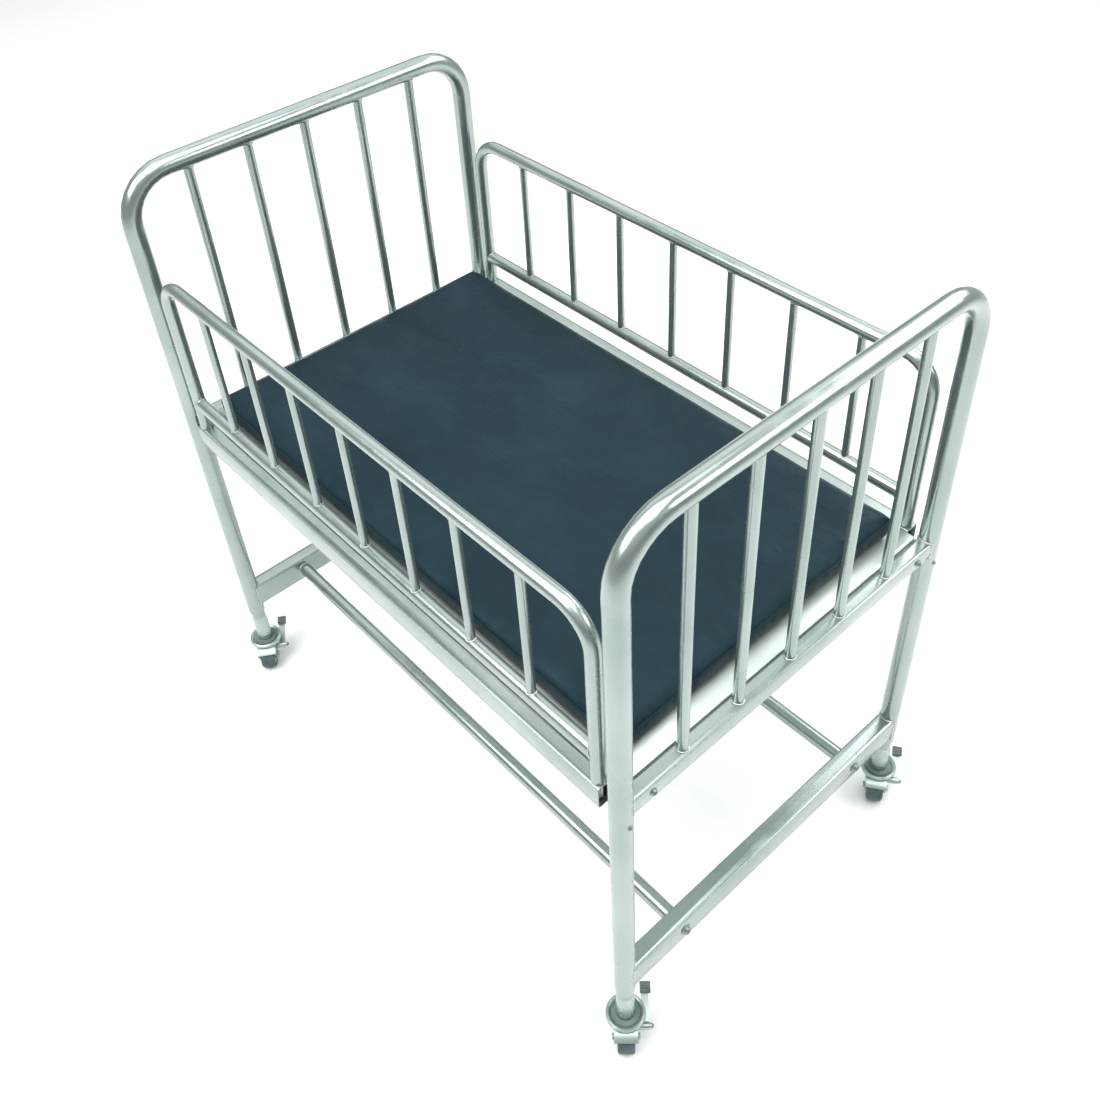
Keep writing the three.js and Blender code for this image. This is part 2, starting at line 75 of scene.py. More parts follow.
def middle(node):
    low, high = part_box(node)
    return (low + high) / 2


# The middle of the bed, on the floor
bed = (middle("head_arch") + middle("foot_arch")) / 2
bed.z = 0


# Camera, at the photograph's place
IMAGE_SIZE = 1100
FOCAL = 1183.48
CENTRE = (561.09, 455.61)
CAMERA_PLACE = Vector((1.10968, -0.87076, 1.90544))
CAMERA_AZIMUTH = math.radians(50.0237)
CAMERA_ELEVATION = math.radians(41.1983)
CAMERA_ROLL = math.radians(-3.5083)
SENSOR = 36


def add_camera():
    data = bpy.data.cameras.new("camera")
    data.sensor_width = SENSOR
    data.lens = FOCAL / IMAGE_SIZE * SENSOR
    data.shift_x = (IMAGE_SIZE / 2 - CENTRE[0]) / IMAGE_SIZE
    data.shift_y = (CENTRE[1] - IMAGE_SIZE / 2) / IMAGE_SIZE
    level = math.cos(CAMERA_ELEVATION)
    back = Vector((
        math.sin(CAMERA_AZIMUTH) * level,
        -math.cos(CAMERA_AZIMUTH) * level,
        math.sin(CAMERA_ELEVATION),
    ))
    right = Vector((math.cos(CAMERA_AZIMUTH), math.sin(CAMERA_AZIMUTH), 0))
    tilt = Matrix.Rotation(CAMERA_ROLL, 3, back)
    right = tilt @ right
    turn = Matrix((right, back.cross(right), back)).transposed()
    camera = bpy.data.objects.new("camera", data)
    camera.matrix_world = Matrix.Translation(bed + CAMERA_PLACE) @ turn.to_4x4()
    bpy.context.scene.collection.objects.link(camera)
    bpy.context.scene.camera = camera


add_camera()


# Materials: each keyword of new_material names a socket of the shader
def new_material(name, **sockets):
    material = bpy.data.materials.new(name)
    material.use_nodes = True
    shader = material.node_tree.nodes["Principled BSDF"]
    for socket, value in sockets.items():
        shader.inputs[socket.replace("_", " ")].default_value = value
    return material, material.node_tree, shader


def position(tree, stretch=(1, 1, 1)):
    coordinates = tree.nodes.new("ShaderNodeTexCoord")
    mapping = tree.nodes.new("ShaderNodeMapping")
    mapping.inputs["Scale"].default_value = stretch
    tree.links.new(coordinates.outputs["Object"], mapping.inputs["Vector"])
    return mapping.outputs["Vector"]


def clouds(tree, scale, detail, stretch=(1, 1, 1)):
    field = tree.nodes.new("ShaderNodeTexNoise")
    field.inputs["Scale"].default_value = scale
    field.inputs["Detail"].default_value = detail
    tree.links.new(position(tree, stretch), field.inputs["Vector"])
    return field.outputs["Fac"]


def pebbles(tree, scale):
    field = tree.nodes.new("ShaderNodeTexVoronoi")
    field.feature = "DISTANCE_TO_EDGE"
    field.inputs["Scale"].default_value = scale
    tree.links.new(position(tree), field.inputs["Vector"])
    return field.outputs["Distance"]


# Colours at places along a value of 0 to 1
def colours(tree, source, *stops):
    ramp = tree.nodes.new("ShaderNodeValToRGB")
    elements = ramp.color_ramp.elements
    while len(elements) < len(stops):
        elements.new(1)
    for element, (place, colour) in zip(elements, stops):
        element.position = place
        element.color = (*colour, 1)
    tree.links.new(source, ramp.inputs["Fac"])
    return ramp.outputs["Color"]


# Spreads a value from start to end over low to high; noise keeps mostly to 0.3 to 0.7
def between(tree, source, low, high, start=0.3, end=0.7):
    spread = tree.nodes.new("ShaderNodeMapRange")
    spread.inputs["From Min"].default_value = start
    spread.inputs["From Max"].default_value = end
    spread.inputs["To Min"].default_value = low
    spread.inputs["To Max"].default_value = high
    tree.links.new(source, spread.inputs["Value"])
    return spread.outputs["Result"]


def bump(tree, height, strength, distance, under=None):
    relief = tree.nodes.new("ShaderNodeBump")
    relief.inputs["Strength"].default_value = strength
    relief.inputs["Distance"].default_value = distance
    tree.links.new(height, relief.inputs["Height"])
    if under:
        tree.links.new(under, relief.inputs["Normal"])
    return relief.outputs["Normal"]


def connect(tree, shader, colour, roughness, normal=None):
    tree.links.new(colour, shader.inputs["Base Color"])
    tree.links.new(roughness, shader.inputs["Roughness"])
    if normal:
        tree.links.new(normal, shader.inputs["Normal"])


def metal(name, dark, light, smooth, worn):
    material, tree, shader = new_material(name, Metallic=0.8)
    tint = colours(tree, clouds(tree, 7, 4), (0.32, dark), (0.68, light))
    smears = between(tree, clouds(tree, 26, 6), smooth, worn)
    polish = bump(tree, clouds(tree, 900, 2), 0.04, 0.0002)
    ripple = bump(tree, clouds(tree, 14, 1), 0.05, 0.004, polish)
    connect(tree, shader, tint, smears, ripple)
    return material


def weld_metal():
    material, tree, shader = new_material("weld_metal", Metallic=1)
    tint = colours(tree, clouds(tree, 300, 3), (0.3, (0.36, 0.38, 0.35)), (0.7, (0.62, 0.64, 0.6)))
    rough = between(tree, clouds(tree, 500, 3), 0.25, 0.5)
    scale = bump(tree, clouds(tree, 1100, 2), 0.2, 0.0004)
    connect(tree, shader, tint, rough, scale)
    return material


def vinyl():
    material, tree, shader = new_material(
        "vinyl",
        Specular_IOR_Level=0.24,
        Specular_Tint=(0.55, 0.9, 1, 1),
    )
    tint = colours(
        tree,
        clouds(tree, 5, 6, (1, 1.7, 1)),
        (0.3, (0.0036, 0.0103, 0.0158)),
        (0.5, (0.0053, 0.0146, 0.0219)),
        (0.72, (0.0086, 0.0208, 0.0302)),
    )
    rough = between(tree, clouds(tree, 18, 5), 0.44, 0.58)
    grain = bump(tree, pebbles(tree, 700), 0.12, 0.0003)
    creases = bump(tree, clouds(tree, 16, 3, (1, 2.4, 1)), 0.85, 0.006, grain)
    connect(tree, shader, tint, rough, creases)
    return material


def rubber(name, dark, light):
    material, tree, shader = new_material(name, Specular_IOR_Level=0.35)
    tint = colours(tree, clouds(tree, 60, 5), (0.3, dark), (0.7, light))
    rough = between(tree, clouds(tree, 120, 4), 0.5, 0.72)
    grain = bump(tree, clouds(tree, 1500, 2), 0.15, 0.0003)
    connect(tree, shader, tint, rough, grain)
    return material


# The stem is painted darker above its boss, as painted shade under the end of the leg, with a soft
# change between
def stem_metal_painted_shade(boss_top):
    material, tree, shader = new_material("stem_metal_painted_shade", Metallic=0.85)
    height = tree.nodes.new("ShaderNodeSeparateXYZ")
    tree.links.new(position(tree), height.inputs["Vector"])
    level = between(tree, height.outputs["Z"], 0, 1, boss_top - 0.002, boss_top + 0.004)
    # Painted shade: the stem above its boss, under the leg, takes the darker colour
    tint = colours(tree, level, (0.1, (0.42, 0.5, 0.46)), (0.9, (0.32, 0.39, 0.36)))
    rough = between(tree, clouds(tree, 90, 5), 0.22, 0.4)
    marks = bump(tree, clouds(tree, 700, 2), 0.06, 0.0003)
    connect(tree, shader, tint, rough, marks)
    return material


def floor_paint():
    material, tree, shader = new_material("floor_paint", Specular_IOR_Level=0.2)
    tint = colours(tree, clouds(tree, 1.2, 2), (0.3, (0.9, 0.905, 0.9)), (0.7, (0.92, 0.925, 0.92)))
    rough = between(tree, clouds(tree, 5, 3), 0.6, 0.75)
    connect(tree, shader, tint, rough)
    return material


STEEL = metal("polished_steel", (0.31, 0.37, 0.355), (0.385, 0.445, 0.43), 0.16, 0.3)
PLATE = metal("plated_steel", (0.34, 0.42, 0.38), (0.44, 0.52, 0.48), 0.28, 0.42)
SHEET = metal("sheet_steel", (0.5, 0.57, 0.545), (0.6, 0.66, 0.635), 0.36, 0.48)
BOLT = metal("bolt_steel", (0.16, 0.2, 0.19), (0.3, 0.35, 0.33), 0.25, 0.4)
WELD = weld_metal()
VINYL = vinyl()
TYRE = rubber("tyre_rubber", (0.05, 0.08, 0.085), (0.09, 0.13, 0.135))
CORE = rubber("wheel_core", (0.3, 0.4, 0.38), (0.4, 0.5, 0.47))
PAD = rubber("pedal_pad", (0.1, 0.125, 0.122), (0.16, 0.19, 0.185))
SEAL = rubber("dust_seal", (0.1, 0.15, 0.125), (0.15, 0.21, 0.18))
STEM = stem_metal_painted_shade(BOSS_TOP)


# The solids keep their shape: corners that coincide are merged and only real edges stay sharp
SMOOTH_ANGLE = math.radians(38)
MERGE_DISTANCE = 1e-5
EDGE_ROUND = 0.0007


def smoothing():
    tree = bpy.data.node_groups.new("smooth_by_angle", "GeometryNodeTree")
    for way in ("INPUT", "OUTPUT"):
        tree.interface.new_socket("Geometry", in_out=way, socket_type="NodeSocketGeometry")
    source = tree.nodes.new("NodeGroupInput")
    result = tree.nodes.new("NodeGroupOutput")
    plain = tree.nodes.new("GeometryNodeRemoveAttribute")
    plain.inputs["Name"].default_value = "custom_normal"
    merged = tree.nodes.new("GeometryNodeMergeByDistance")
    merged.inputs["Distance"].default_value = MERGE_DISTANCE
    faces = tree.nodes.new("GeometryNodeSetShadeSmooth")
    faces.domain = "FACE"
    edges = tree.nodes.new("GeometryNodeSetShadeSmooth")
    edges.domain = "EDGE"
    fold = tree.nodes.new("GeometryNodeInputMeshEdgeAngle")
    shallow = tree.nodes.new("FunctionNodeCompare")
    shallow.operation = "LESS_THAN"
    shallow.inputs["B"].default_value = SMOOTH_ANGLE
    tree.links.new(fold.outputs["Unsigned Angle"], shallow.inputs["A"])
    tree.links.new(shallow.outputs["Result"], edges.inputs["Shade Smooth"])
    chain = (source, plain, merged, faces, edges, result)
    for near, far in zip(chain, chain[1:]):
        tree.links.new(near.outputs[0], far.inputs[0])
    return tree


SMOOTHING = smoothing()


def dress(node, material, rounded=False):
    solid = nodes[node]
    for slot in solid.material_slots:
        slot.material = material
    solid.modifiers.new("smooth", "NODES").node_group = SMOOTHING
    if rounded:
        bevel = solid.modifiers.new("edges", "BEVEL")
        bevel.width = EDGE_ROUND
        bevel.segments = 2
        bevel.limit_method = "ANGLE"
        bevel.angle_limit = SMOOTH_ANGLE


def dress_solids():
    for name in nodes:
        if name.endswith("caster_wheel"):
            dress(name, TYRE, True)
        elif name.endswith("caster_stem"):
            dress(name, STEM)
        elif "caster" in name:
            dress(name, PLATE, True)
        elif name.endswith(("mid_rail", "cross_bar", "side_tube")):
            dress(name, STEEL, True)
        elif name == "bed_panel":
            dress(name, SHEET)
        elif name != "mattress":
            dress(name, STEEL)


dress_solids()


# Mesh helpers
def finish_piece(name, bm, material, body, angle=SMOOTH_ANGLE):
    bmesh.ops.recalc_face_normals(bm, faces=bm.faces)
    mesh = bpy.data.meshes.new(name)
    bm.to_mesh(mesh)
    bm.free()
    mesh.materials.append(material)
    mesh.shade_smooth()
    mesh.set_sharp_from_angle(angle=angle)
    piece = bpy.data.objects.new(name, mesh)
    bpy.context.scene.collection.objects.link(piece)
    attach(piece, body)


# How much a weld's ripples change its radius
RIPPLE_DEPTH = 0.15


# A closed round bead along points that go round the given axis, with ripples as a weld has
def bead(bm, points, axis, radius, sides=8, ripples=0):
    count = len(points)
    turns = [math.tau * k / sides for k in range(sides)]
    rings = []
    for i, point in enumerate(points):
        along = (points[(i + 1) % count] - points[i - 1]).normalized()
        side = along.cross(axis).normalized()
        up = side.cross(along)
        size = radius * (1 + RIPPLE_DEPTH * math.sin(math.tau * ripples * i / count))
        spots = [point + size * (math.cos(t) * side + math.sin(t) * up) for t in turns]
        rings.append([bm.verts.new(spot) for spot in spots])
    for near, far in zip(rings, rings[1:] + rings[:1]):
        for k in range(sides):
            bm.faces.new((near[k - 1], near[k], far[k], far[k - 1]))


# Revolves radius and height pairs about the Z axis of a matrix; a radius of 0 closes an end
def lathe(bm, profile, matrix, steps=24):
    turns = [math.tau * k / steps for k in range(steps)]
    rings = []
    for radius, height in profile:
        spots = [Vector((radius * math.cos(t), radius * math.sin(t), height)) for t in turns]
        if radius == 0:
            spots = spots[:1]
        rings.append([bm.verts.new(matrix @ spot) for spot in spots])
    for near, far in zip(rings, rings[1:]):
        for k in range(steps):
            low = [near[(k - 1) % len(near)], near[k % len(near)]]
            high = [far[k % len(far)], far[(k - 1) % len(far)]]
            bm.faces.new(list(dict.fromkeys(low + high)))


def facing(place, direction):
    turn = direction.to_track_quat("Z", "Y").to_matrix().to_4x4()
    return Matrix.Translation(place) @ turn


# Weld beads: radii, then the ripples round each kind of joint
WELD_STEPS = 48
END_WELD = 0.0014
RAIL_WELD = 0.0011
TUBE_WELD = 0.0016
END_RIPPLES = 12
RAIL_RIPPLES = 10
TUBE_RIPPLES = 24
STRETCHER_RIPPLES = 16
POST_RIPPLES = 14

# Share of a post's width that the seam of a rail's bottom tube takes
POST_SEAM_WIDTH = 0.96


# Where a bar about Z meets a tube along the given direction, above or below the tube's axis
def saddle(place, along, bar_radius, tube_radius, way):
    across = Z_AXIS.cross(along)
    points = []
    for i in range(WELD_STEPS):
        turn = math.tau * i / WELD_STEPS
        aside = bar_radius * math.cos(turn)
        rise = way * math.sqrt(tube_radius**2 - aside**2)
        points.append(place + aside * across + bar_radius * math.sin(turn) * along + rise * Z_AXIS)
    return points


def ring(place, axis, radius):
    side = axis.orthogonal().normalized()
    other = axis.cross(side)
    turns = [math.tau * i / WELD_STEPS for i in range(WELD_STEPS)]
    return [place + radius * (math.cos(t) * side + math.sin(t) * other) for t in turns]


# Round the end of a rectangular tube that is hollowed to fit a leg
def leg_seam(node, side, leg_axis):
    low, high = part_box(node)
    half = Vector(((high.x - low.x) / 2, 0, (high.z - low.z) / 2))
    centre = (low + high) / 2
    corners = [(1, 1), (-1, 1), (-1, -1), (1, -1)]
    points = []
    steps = WELD_STEPS // 4
    for i, start in enumerate(corners):
        stop = corners[(i + 1) % 4]
        for k in range(steps):
            t = k / steps
            x = half.x * (start[0] + t * (stop[0] - start[0]))
            z = half.z * (start[1] + t * (stop[1] - start[1]))
            inward = math.sqrt(LEG_RADIUS**2 - x**2)
            points.append(Vector((centre.x + x, leg_axis - side * inward, centre.z + z)))
    return points


# Where a rail's bottom tube meets a post as thick as itself, just inside the post's sides
def post_seam(place, way):
    points = []
    for i in range(WELD_STEPS):
        turn = math.tau * i / WELD_STEPS
        aside = POST_SEAM_WIDTH * RAIL_RADIUS * math.cos(turn)
        inward = math.sqrt(RAIL_RADIUS**2 - aside**2)
        points.append(place + Vector((-way * inward, aside, RAIL_RADIUS * math.sin(turn))))
    return points


def frame_welds():
    bm = bmesh.new()
    for end in ENDS:
        arch_low, arch_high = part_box(f"{end}_arch")
        top_axis = arch_high.z - LEG_RADIUS
        for i in range(1, END_BARS + 1):
            bar = middle(f"{end}_bar_{i}")
            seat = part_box(f"{end}_bar_{i}")[0].z
            foot = Vector((bar.x, bar.y, seat))
            bead(bm, ring(foot, Z_AXIS, END_BAR_RADIUS), Z_AXIS, END_WELD, ripples=END_RIPPLES)
            crest = Vector((bar.x, bar.y, top_axis))
            points = saddle(crest, Y_AXIS, END_BAR_RADIUS, LEG_RADIUS, -1)
            bead(bm, points, Z_AXIS, END_WELD, ripples=END_RIPPLES)
        for tube in ("mid_rail", "cross_bar"):
            for side, edge in ((-1, arch_low.y), (1, arch_high.y)):
                points = leg_seam(f"{end}_{tube}", side, edge - side * LEG_RADIUS)
                bead(bm, points, Y_AXIS, TUBE_WELD, ripples=TUBE_RIPPLES)
    for side in SIDES:
        low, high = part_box(f"{side}_stretcher")
        axis = (low + high) / 2
        for x in (low.x, high.x):
            points = ring(Vector((x, axis.y, axis.z)), X_AXIS, STRETCHER_RADIUS)
            bead(bm, points, X_AXIS, END_WELD, ripples=STRETCHER_RIPPLES)
    finish_piece("frame_welds", bm, WELD, "frame")


def rail_welds(side):
    bm = bmesh.new()
    hoop_low, hoop_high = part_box(f"{side}_rail_hoop")
    top_axis = hoop_high.z - RAIL_RADIUS
    bottom = middle(f"{side}_rail_bottom_tube")
    for i in range(1, RAIL_BARS + 1):
        bar = middle(f"{side}_rail_bar_{i}")
        for z, way in ((top_axis, -1), (bottom.z, 1)):
            points = saddle(Vector((bar.x, bar.y, z)), X_AXIS, RAIL_BAR_RADIUS, RAIL_RADIUS, way)
            bead(bm, points, Z_AXIS, RAIL_WELD, ripples=RAIL_RIPPLES)
    for way, edge in ((-1, hoop_low.x), (1, hoop_high.x)):
        points = post_seam(Vector((edge - way * RAIL_RADIUS, bottom.y, bottom.z)), way)
        bead(bm, points, X_AXIS, RAIL_WELD, ripples=POST_RIPPLES)
    finish_piece(f"{side}_rail_welds", bm, WELD, f"{side}_rail")


frame_welds()
for rail_side in SIDES:
    rail_welds(rail_side)


# Bolt heads: a low dome on a washer, with a round socket, in radii of the dome
DOME_BOLT = [
    (0, 0),
    (1.35, 0),
    (1.35, 0.16),
    (1.05, 0.22),
    (1, 0.3),
    (0.95, 0.62),
    (0.72, 0.9),
    (0.48, 1),
    (0.46, 0.55),
    (0, 0.5),
]
BOLT_SMOOTH_ANGLE = math.radians(50)
STRETCHER_BOLT = 0.007
RAIL_BOLT = 0.0045
LEG_SCREW = 0.003
RAIL_BOLT_INSET = 0.044
LEG_SCREW_HEIGHT = 0.597
LEG_SCREW_SINK = 0.0003


def dome_bolt(bm, place, direction, radius):
    profile = [(radius * across, radius * height) for across, height in DOME_BOLT]
    lathe(bm, profile, facing(place, direction))


def outer_face(node, way):
    low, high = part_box(node)
    return high.x if way > 0 else low.x


def frame_bolts():
    bm = bmesh.new()
    for end, way in (("head", -1), ("foot", 1)):
        outward = way * X_AXIS
        face = outer_face(f"{end}_cross_bar", way)
        for side in SIDES:
            axis = middle(f"{side}_stretcher")
            dome_bolt(bm, Vector((face, axis.y, axis.z)), outward, STRETCHER_BOLT)
        face = outer_face(f"{end}_mid_rail", way)
        height = middle(f"{end}_mid_rail").z
        leg_face = outer_face(f"{end}_arch", way) - way * LEG_SCREW_SINK
        arch_low, arch_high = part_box(f"{end}_arch")
        for leg, inward in ((arch_low.y + LEG_RADIUS, 1), (arch_high.y - LEG_RADIUS, -1)):
            place = Vector((face, leg + inward * RAIL_BOLT_INSET, height))
            dome_bolt(bm, place, outward, RAIL_BOLT)
            dome_bolt(bm, Vector((leg_face, leg, LEG_SCREW_HEIGHT)), outward, LEG_SCREW)
    finish_piece("frame_bolts", bm, BOLT, "frame", BOLT_SMOOTH_ANGLE)


frame_bolts()


# Casters, drawn with the swivel axis on Z and the wheel trailing toward +X
WHEEL_RADIUS = 0.025
TRAIL = 0.022
PEDAL = Vector((-0.040, 0.0315, 0.051))
PEDAL_SIZE = Vector((0.016, 0.015, 0.006))
LEVER_PIVOT = Vector((0.012, 0.0402, 0.038))
LEVER_CAP = 0.0032
TURNED_STEPS = 36

# Radius and height pairs, from the middle of the wheel and from the floor
WHEEL_DISC = [
    (0.0088, 0.0101),
    (0.0090, 0.0118),
    (0.0101, 0.0122),
    (0.0114, 0.0108),
    (0.0155, 0.0106),
    (0.0168, 0.0118),
    (0.0186, 0.0124),
    (0.0193, 0.0112),
    (0.0188, 0.0101),
    (0.0088, 0.0101),
]
DUST_SEAL = [
    (0.0142, 0.0583),
    (0.0215, 0.0590),
    (0.0222, 0.0596),
    (0.0214, 0.0604),
    (0.0165, 0.0606),
    (0.0142, 0.0618),
    (0.0142, 0.0583),
]

# The pedal's pad, with each rib's corners as shares of the ribs' pitch and heights
PAD_OVERHANG = 0.001
PAD_LIFT = 0.0002
PAD_THICKNESS = 0.0026
PAD_EDGE = 0.0015
PAD_EDGE_DROP = 0.0008
RIBS = 4
RIB_TOP = 0.0036
RIB = [(0.15, RIB_TOP), (0.65, RIB_TOP), (0.8, PAD_THICKNESS), (1, PAD_THICKNESS)]


def caster_place(name):
    swivel = Vector(joints[f"{name}_swivel"]["pos_m"])
    axle = Vector(joints[f"{name}_roll"]["axis"]).normalized()
    turn = Matrix((axle.cross(Z_AXIS), axle, Z_AXIS)).transposed()
    return Matrix.Translation((swivel.x, swivel.y, 0)) @ turn.to_4x4()


# A pale dished disc with a raised ring on each face of the wheel
def wheel_discs(name, place):
    bm = bmesh.new()
    for way in (-1, 1):
        centre = place @ Matrix.Translation((TRAIL, 0, WHEEL_RADIUS))
        matrix = centre @ Matrix.Rotation(-way * math.pi / 2, 4, "X")
        lathe(bm, WHEEL_DISC, matrix, TURNED_STEPS)
    finish_piece(f"{name}_wheel_discs", bm, CORE, f"{name}_wheel")


def dust_seal(name, place):
    bm = bmesh.new()
    lathe(bm, DUST_SEAL, place, TURNED_STEPS)
    finish_piece(f"{name}_dust_seal", bm, SEAL, f"{name}_fork")


# A ribbed rubber pad over the top of the pedal
def pedal_pad(name, place):
    bm = bmesh.new()
    length = PEDAL_SIZE.x + 2 * PAD_OVERHANG
    side = PEDAL_SIZE.y / 2 + PAD_OVERHANG
    base = PEDAL_SIZE.z / 2 + PAD_LIFT
    pitch = length / RIBS
    outline = [(-length / 2, base), (-length / 2, base + PAD_THICKNESS)]
    for i in range(RIBS):
        start = -length / 2 + i * pitch
        outline += [(start + share * pitch, base + height) for share, height in RIB]
    outline.append((length / 2, base))
    matrix = place @ Matrix.Translation(PEDAL)
    rows = []
    inner = side - PAD_EDGE
    for y, drop in ((-side, PAD_EDGE_DROP), (-inner, 0), (inner, 0), (side, PAD_EDGE_DROP)):
        spots = [Vector((x, y, max(z - drop, base))) for x, z in outline]
        rows.append([bm.verts.new(matrix @ spot) for spot in spots])
    count = len(outline)
    for near, far in zip(rows, rows[1:]):
        for k in range(count):
            bm.faces.new((near[k - 1], near[k], far[k], far[k - 1]))
    bm.faces.new(rows[0])
    bm.faces.new(rows[-1])
    finish_piece(f"{name}_pedal_pad", bm, PAD, f"{name}_lever")


def pivot_cap(name, place):
    bm = bmesh.new()
    outward = place.to_3x3() @ Y_AXIS
    dome_bolt(bm, place @ LEVER_PIVOT, outward, LEVER_CAP)
    finish_piece(f"{name}_pivot_cap", bm, BOLT, f"{name}_lever", BOLT_SMOOTH_ANGLE)


for caster in CASTERS:
    where = caster_place(caster)
    wheel_discs(caster, where)
    dust_seal(caster, where)
    pedal_pad(caster, where)
    pivot_cap(caster, where)


# Mattress: foam in a vinyl cover, a little inside the solid that it stands for
MATTRESS_SHRINK = 0.001
MATTRESS_CORNER = 0.014
MATTRESS_EDGE = 0.011
MATTRESS_CROWN = 0.003
MATTRESS_DRAW_IN = 0.002

# Rounding of the blank: edges level within a tolerance, and turned by over an angle, are rims
CORNER_SEGMENTS = 8
EDGE_SEGMENTS = 4
ROUND_PROFILE = 0.5
LEVEL_TOLERANCE = 1e-6
RIM_ANGLE = 1

# Cloth simulation that swells the cover, up to a cap
VOXEL = 0.006
SWELL_CAP = 0.006
SWELL_FRAMES = 20
PRESSURE = 4
STRETCH_STIFFNESS = 25
BEND_STIFFNESS = 2

# Wrinkles of the top, as two sets of folds per metre, above a level over the panel
WRINKLE = 0.0012
SHORT_FOLDS = Vector((21, 34, 30))
LONG_FOLDS = Vector((5, 9, 0))
WRINKLE_LEVEL = 0.02

# Welt round the side
SEAM_RADIUS = 0.0017
SEAM_SIDES = 10
SEAM_STEP = 0.012
SEAM_CORNER_STEPS = 8
SEAM_LEVEL = 0.03
SEAM_REACH = 0.06


# Replaces a piece's mesh by what its modifiers make of it
def bake(piece):
    graph = bpy.context.evaluated_depsgraph_get()
    result = bpy.data.meshes.new_from_object(piece.evaluated_get(graph))
    piece.modifiers.clear()
    piece.data = result


def height_change(edge):
    return abs(edge.verts[0].co.z - edge.verts[1].co.z)


def round_edges(bm, edges, radius, segments):
    bmesh.ops.bevel(
        bm,
        geom=edges,
        offset=radius,
        segments=segments,
        affect="EDGES",
        profile=ROUND_PROFILE,
    )


def mattress_blank():
    low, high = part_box("mattress")
    size = high - low - 2 * Vector((MATTRESS_SHRINK, MATTRESS_SHRINK, 0))
    size.z -= MATTRESS_SHRINK + 2 * MATTRESS_CROWN
    bm = bmesh.new()
    bmesh.ops.create_cube(bm, size=1)
    centre = Vector(((low.x + high.x) / 2, (low.y + high.y) / 2, low.z + size.z / 2))
    for vertex in bm.verts:
        vertex.co = centre + Vector([a * b for a, b in zip(vertex.co, size)])
    upright = [edge for edge in bm.edges if height_change(edge) > size.z / 2]
    round_edges(bm, upright, MATTRESS_CORNER, CORNER_SEGMENTS)
    level = [edge for edge in bm.edges if height_change(edge) < LEVEL_TOLERANCE]
    rims = [edge for edge in level if edge.calc_face_angle(0) > RIM_ANGLE]
    round_edges(bm, rims, MATTRESS_EDGE, EDGE_SEGMENTS)
    mesh = bpy.data.meshes.new("mattress_cover")
    bm.to_mesh(mesh)
    bm.free()
    piece = bpy.data.objects.new("mattress_cover", mesh)
    bpy.context.scene.collection.objects.link(piece)
    remesh = piece.modifiers.new("remesh", "REMESH")
    remesh.mode = "VOXEL"
    remesh.voxel_size = VOXEL
    bake(piece)
    half = size / 2
    for vertex in piece.data.vertices:
        away = vertex.co - centre
        along = max(0, 1 - (away.x / half.x) ** 2)
        across = max(0, 1 - (away.y / half.y) ** 2)
        lift = max(0, away.z / half.z)
        pull_x = math.copysign(MATTRESS_DRAW_IN * across, away.x)
        pull_y = math.copysign(MATTRESS_DRAW_IN * along, away.y)
        vertex.co.x -= pull_x * min(1, abs(away.x / half.x))
        vertex.co.y -= pull_y * min(1, abs(away.y / half.y))
        vertex.co.z += lift * MATTRESS_CROWN * math.sqrt(along * across)
    return piece, low.z


def swell(piece, rest_height):
    before = [vertex.co.copy() for vertex in piece.data.vertices]
    cloth = piece.modifiers.new("swell", "CLOTH")
    cloth.settings.use_pressure = True
    cloth.settings.uniform_pressure_force = PRESSURE
    cloth.settings.effector_weights.gravity = 0
    cloth.settings.tension_stiffness = STRETCH_STIFFNESS
    cloth.settings.compression_stiffness = STRETCH_STIFFNESS
    cloth.settings.bending_stiffness = BEND_STIFFNESS
    cloth.point_cache.frame_end = SWELL_FRAMES
    scene = bpy.context.scene
    for step in range(1, SWELL_FRAMES + 1):
        scene.frame_set(step)
    bake(piece)
    scene.frame_set(1)
    for vertex, start in zip(piece.data.vertices, before):
        move = vertex.co - start
        if move.length > SWELL_CAP:
            move.length = SWELL_CAP
        vertex.co = start + move
        if vertex.co.z > rest_height + WRINKLE_LEVEL:
            fold = noise.noise(start * SHORT_FOLDS) + noise.noise(start * LONG_FOLDS + Z_AXIS)
            vertex.co.z += WRINKLE * fold
        vertex.co.z = max(vertex.co.z, rest_height)


def seam_point(tree, base, out):
    return tree.ray_cast(base + SEAM_REACH * out, -out)[0]


# A sewn welt round the side, laid on the swelled cover
def side_seam(cover):
    tree = BVHTree.FromPolygons(
        [vertex.co for vertex in cover.data.vertices],
        [polygon.vertices for polygon in cover.data.polygons],
    )
    low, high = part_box("mattress")
    centre = (low + high) / 2
    centre.z = low.z + SEAM_LEVEL
    reach_x = (high.x - low.x) / 2 - MATTRESS_CORNER
    reach_y = (high.y - low.y) / 2 - MATTRESS_CORNER
    signs = ((1, 1), (-1, 1), (-1, -1), (1, -1))
    corners = [centre + Vector((sx * reach_x, sy * reach_y, 0)) for sx, sy in signs]
    points = []
    for i, corner in enumerate(corners):
        for k in range(SEAM_CORNER_STEPS + 1):
            turn = math.radians(90 * (i + k / SEAM_CORNER_STEPS))
            out = Vector((math.cos(turn), math.sin(turn), 0))
            points.append(seam_point(tree, corner, out))
        following = corners[(i + 1) % len(corners)]
        count = round((following - corner).length / SEAM_STEP)
        for k in range(1, count):
            points.append(seam_point(tree, corner.lerp(following, k / count), out))
    bm = bmesh.new()
    bead(bm, points, Z_AXIS, SEAM_RADIUS, sides=SEAM_SIDES)
    return bm


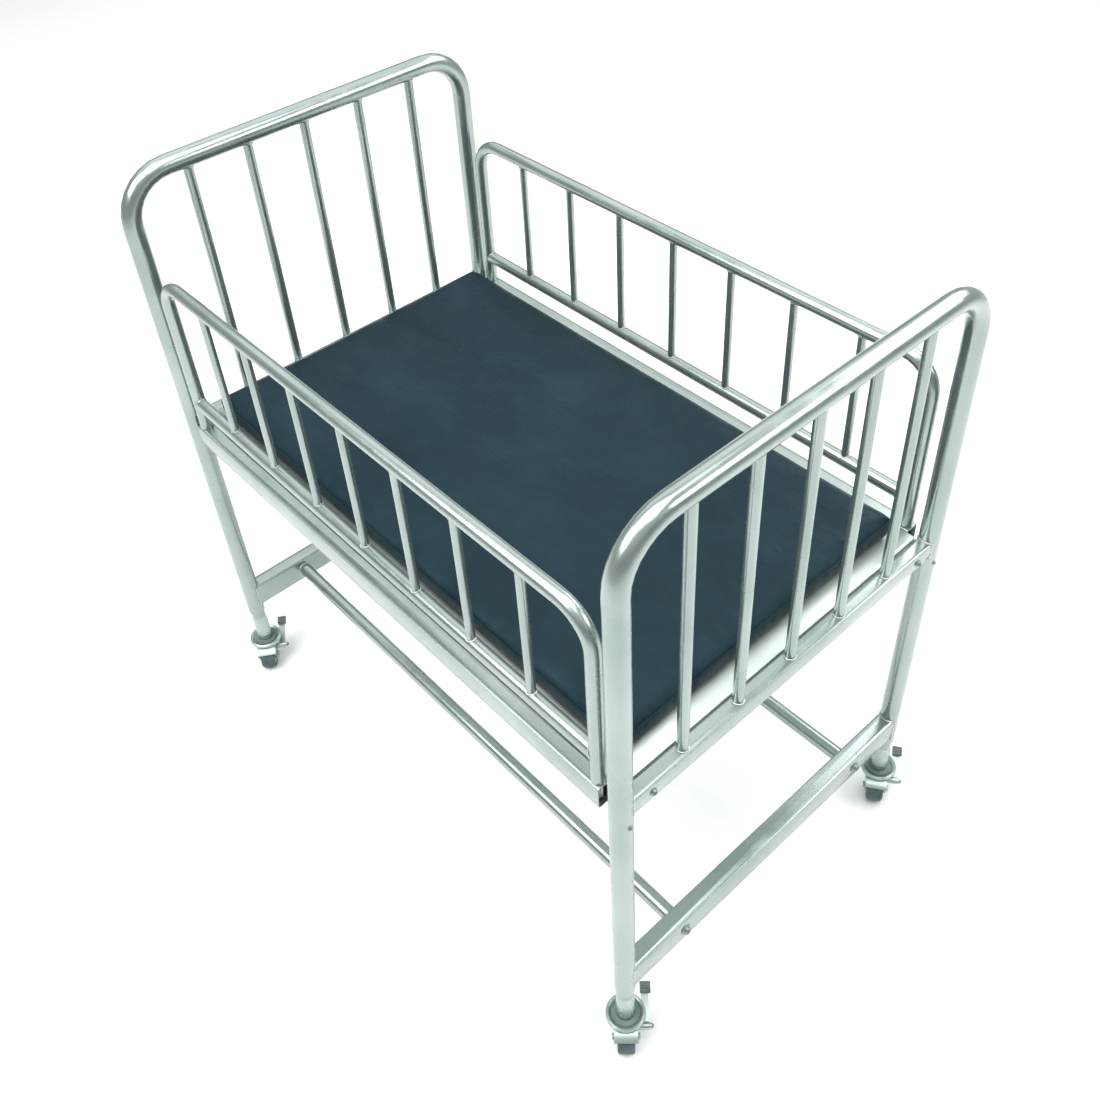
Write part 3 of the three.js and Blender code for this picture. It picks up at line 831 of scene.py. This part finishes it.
def add_mattress():
    cover, rest_height = mattress_blank()
    swell(cover, rest_height)
    seam = side_seam(cover)
    cover.data.materials.clear()
    cover.data.materials.append(VINYL)
    cover.data.shade_smooth()
    cover.modifiers.new("smooth", "SUBSURF").render_levels = 1
    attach(cover, "frame")
    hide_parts("mattress")
    finish_piece("mattress_seam", seam, VINYL, "frame")


add_mattress()


# Floor and light, in watts and metres
FLOOR_HALF = 6
FLOOR_STEPS = 8


def add_floor():
    bm = bmesh.new()
    bmesh.ops.create_grid(bm, x_segments=FLOOR_STEPS, y_segments=FLOOR_STEPS, size=FLOOR_HALF)
    mesh = bpy.data.meshes.new("floor")
    bm.to_mesh(mesh)
    bm.free()
    mesh.materials.append(floor_paint())
    floor = bpy.data.objects.new("floor", mesh)
    bpy.context.scene.collection.objects.link(floor)


def add_light(name, place, target, size, power):
    data = bpy.data.lights.new(name, "AREA")
    data.shape = "RECTANGLE"
    data.size, data.size_y = size
    data.energy = power
    light = bpy.data.objects.new(name, data)
    light.location = place
    light.rotation_euler = (target - place).to_track_quat("-Z", "Y").to_euler()
    bpy.context.scene.collection.objects.link(light)


# The room is bright overhead and greyer toward the horizon, which streaks the tubes
def add_world():
    world = bpy.data.worlds.new("studio")
    world.use_nodes = True
    tree = world.node_tree
    background = tree.nodes["Background"]
    coordinates = tree.nodes.new("ShaderNodeTexCoord")
    height = tree.nodes.new("ShaderNodeSeparateXYZ")
    tree.links.new(coordinates.outputs["Generated"], height.inputs["Vector"])
    tint = colours(
        tree,
        height.outputs["Z"],
        (0, (0.5, 0.54, 0.52)),
        (0.25, (0.32, 0.36, 0.345)),
        (0.55, (0.75, 0.79, 0.77)),
        (0.9, (1, 1, 0.99)),
    )
    tree.links.new(tint, background.inputs["Color"])
    background.inputs["Strength"].default_value = 0.75
    bpy.context.scene.world = world
    bpy.context.scene.view_settings.view_transform = "Standard"


add_floor()
add_world()
BED_HEIGHT = Vector((0, 0, 0.5))
add_light("key", Vector((-0.6, -2.2, 3.0)), BED_HEIGHT, (2.2, 1.6), 75)
add_light("fill", Vector((2.4, 1.8, 2.6)), BED_HEIGHT, (2.0, 1.2), 38)
add_light("side", Vector((0.4, 2.4, 2.6)), BED_HEIGHT, (2.0, 1.2), 36)
add_light("top", Vector((0.4, -0.4, 3.6)), BED_HEIGHT, (3.0, 2.4), 80)
add_light("back", Vector((-2.4, 2.0, 3.0)), Vector((-2.6, 2.2, 0)), (5.0, 4.5), 60)
